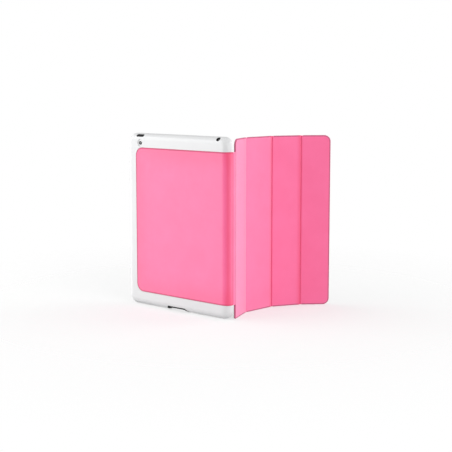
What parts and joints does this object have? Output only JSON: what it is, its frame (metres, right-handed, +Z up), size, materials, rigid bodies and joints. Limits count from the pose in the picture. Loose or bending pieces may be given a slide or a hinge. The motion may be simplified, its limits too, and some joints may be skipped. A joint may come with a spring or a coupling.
{
  "type": "tablet case",
  "caption": "Clip-on hard shell for a tablet with a skin panel on its back that carries on round the spine into a folding sectioned flip cover.",
  "frame": {"origin": "centre of the footprint of the case in its open stance, on the surface that it stands on", "axes": "+Z up along the shell's height; the shell lies in the XZ plane with its back to -Y and its open tray to +Y, and the spine is on its +X side"},
  "size_m": [0.2276, 0.182, 0.246],
  "materials": {
    "white_shell": "satin gloss",
    "pink_skin": "fine matte grain",
    "pink_fold": "pressed matte grain",
    "grey_lining": "brushed microfibre",
    "stiffener_board": "raw board",
    "black_rubber": "matte",
    "steel_plate": "plain strip",
    "magnet": "nickel plated"
  },
  "bodies": {
    "shell": {"rear_shell": "white_shell", "back_panel": "pink_skin", "dock_liner": "black_rubber", "camera_ring": "black_rubber", "jack_grommet": "black_rubber", "spine_web_back": "pink_fold"},
    "power_button": {"power_button_pad": "black_rubber"},
    "spine": {"spine_strap_skin": "pink_skin", "spine_strap_lining": "grey_lining", "spine_web_front": "pink_fold"},
    "section_1": {"cover_skin_1": "pink_skin", "cover_board_1": "stiffener_board", "cover_lining_1": "grey_lining", "stand_plate": "steel_plate", "fold_web_1": "pink_fold"},
    "section_2": {"cover_skin_2": "pink_skin", "cover_board_2": "stiffener_board", "cover_lining_2": "grey_lining", "fold_web_2": "pink_fold"},
    "section_3": {"cover_skin_3": "pink_skin", "cover_board_3": "stiffener_board", "cover_lining_3": "grey_lining", "fold_web_3": "pink_fold"},
    "section_4": {"cover_skin_4": "pink_skin", "cover_board_4": "stiffener_board", "cover_lining_4": "grey_lining", "closing_magnets": "magnet", "wake_magnet": "magnet"}
  },
  "joints": [
    {"name": "spine_swing", "type": "hinge", "parent": "shell", "child": "spine", "pos_m": [0.0753, -0.0889, 0.12175], "axis": [0, 0, 1], "range_deg": [-175, 0], "deforming": ["spine_web_back"]},
    {"name": "cover_swing", "type": "hinge", "parent": "spine", "child": "section_1", "pos_m": [0.07743, -0.07674, 0.12175], "axis": [0, 0, 1], "range_deg": [-117, 68], "deforming": ["spine_web_front"]},
    {"name": "fold_1", "type": "hinge", "parent": "section_1", "child": "section_2", "pos_m": [0.05983, -0.03316, 0.12175], "axis": [0, 0, -1], "range_deg": [-130, 20.5], "deforming": ["fold_web_1"]},
    {"name": "fold_2", "type": "hinge", "parent": "section_2", "child": "section_3", "pos_m": [0.06218, 0.02079, 0.12175], "axis": [0, 0, -1], "range_deg": [-142, 19], "deforming": ["fold_web_2"]},
    {"name": "fold_3", "type": "hinge", "parent": "section_3", "child": "section_4", "pos_m": [0.08365, 0.06034, 0.12175], "axis": [0, 0, -1], "range_deg": [-132, 29.5], "deforming": ["fold_web_3"]},
    {"name": "power_press", "type": "slide", "parent": "shell", "child": "power_button", "axis": [0, 0.7071, -0.7071], "range_m": [0, 0.0005], "stiffness_N_per_m": 800}
  ]
}
